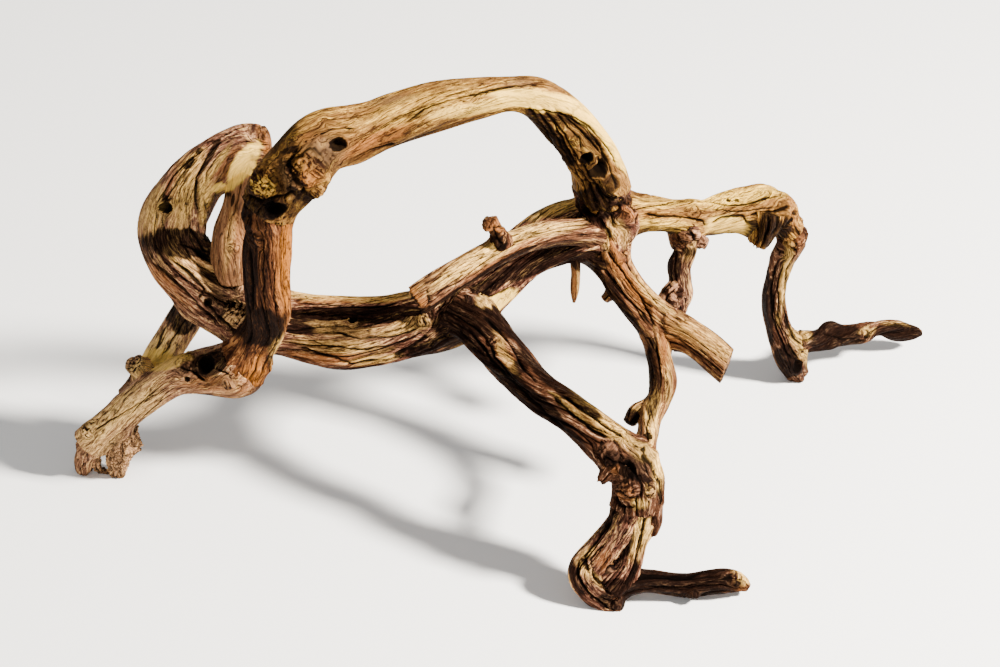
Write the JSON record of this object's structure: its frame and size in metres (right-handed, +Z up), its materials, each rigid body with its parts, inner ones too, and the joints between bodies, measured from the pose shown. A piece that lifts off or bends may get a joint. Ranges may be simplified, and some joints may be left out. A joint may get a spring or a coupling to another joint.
{
  "type": "piece of grapevine wood",
  "caption": "Weathered, twisted piece of grapevine wood that stands on three feet, for decorating an aquarium, a terrarium or a shelf.",
  "frame": {"origin": "on the ground, under the middle of the piece's outline seen from above", "axes": "+X to the right along the longest side, +Y to the back, +Z up"},
  "size_m": [0.6562, 0.3223, 0.3505],
  "materials": {
    "arch_wood": "weathered, tan with pale worn crests",
    "trunk_wood": "deeply furrowed, brown",
    "stem_wood": "smooth, red-brown",
    "pale_wood": "stripped of bark, pale",
    "dark_wood": "knotted, dark brown"
  },
  "bodies": {
    "root": {"arch": "arch_wood", "crotch": "trunk_wood", "post": "stem_wood", "foot_limb": "arch_wood", "twisted_trunk": "trunk_wood", "inner_stem": "stem_wood", "rear_leg": "trunk_wood", "trunk": "trunk_wood", "front_branch": "pale_wood", "down_limb": "pale_wood", "cut_branch": "pale_wood", "thin_leg": "pale_wood", "front_leg": "dark_wood", "front_foot": "trunk_wood", "foot_branch": "dark_wood", "right_limb": "arch_wood", "right_leg": "dark_wood", "twig": "dark_wood", "hanging_branch": "trunk_wood"}
  },
  "joints": []
}
